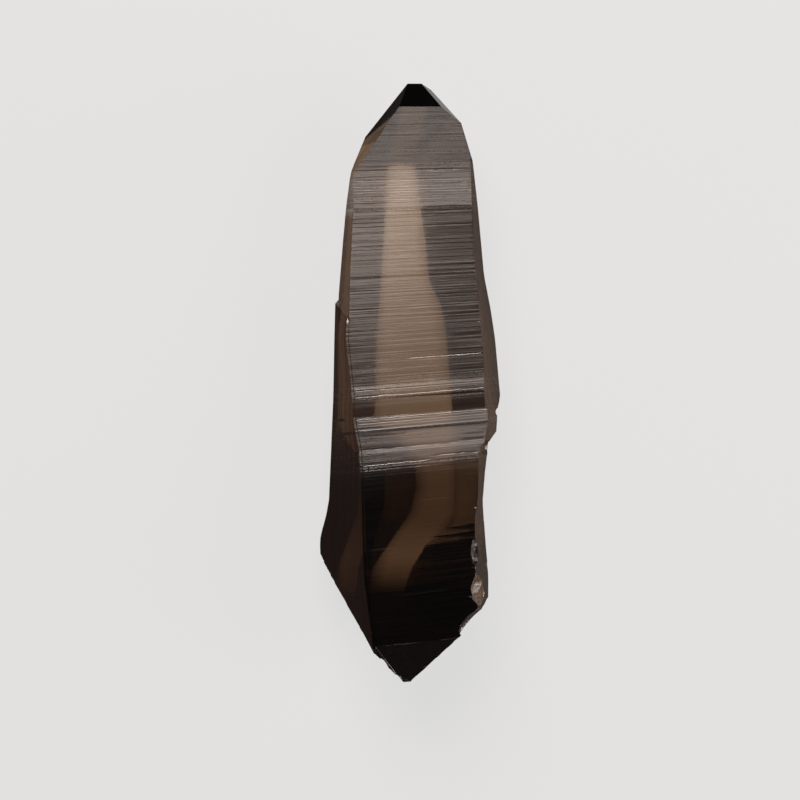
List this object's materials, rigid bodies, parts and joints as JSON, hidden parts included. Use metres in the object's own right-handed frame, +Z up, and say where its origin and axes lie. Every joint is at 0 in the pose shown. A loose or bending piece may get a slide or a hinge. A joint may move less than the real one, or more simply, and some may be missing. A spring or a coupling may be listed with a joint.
{
  "type": "smoky quartz crystal",
  "caption": "Long see-through brown quartz crystal with a pointed end, fine lines across its flat front face and a broken root, lying on its flat back face.",
  "frame": {"origin": "bottom centre of the crystal's box, on the surface that it lies on", "axes": "+Y along the crystal towards its pointed end, +Z up from the back face that it lies on to its lined front face, +X to the right seen from above with the point away"},
  "size_m": [0.029, 0.0958, 0.0196],
  "materials": {
    "smoky_quartz": "clear smoky brown quartz: polished growth faces with fine growth lines across the front, duller broken root"
  },
  "bodies": {
    "root": {"smoky_quartz_crystal": "smoky_quartz"}
  },
  "joints": []
}
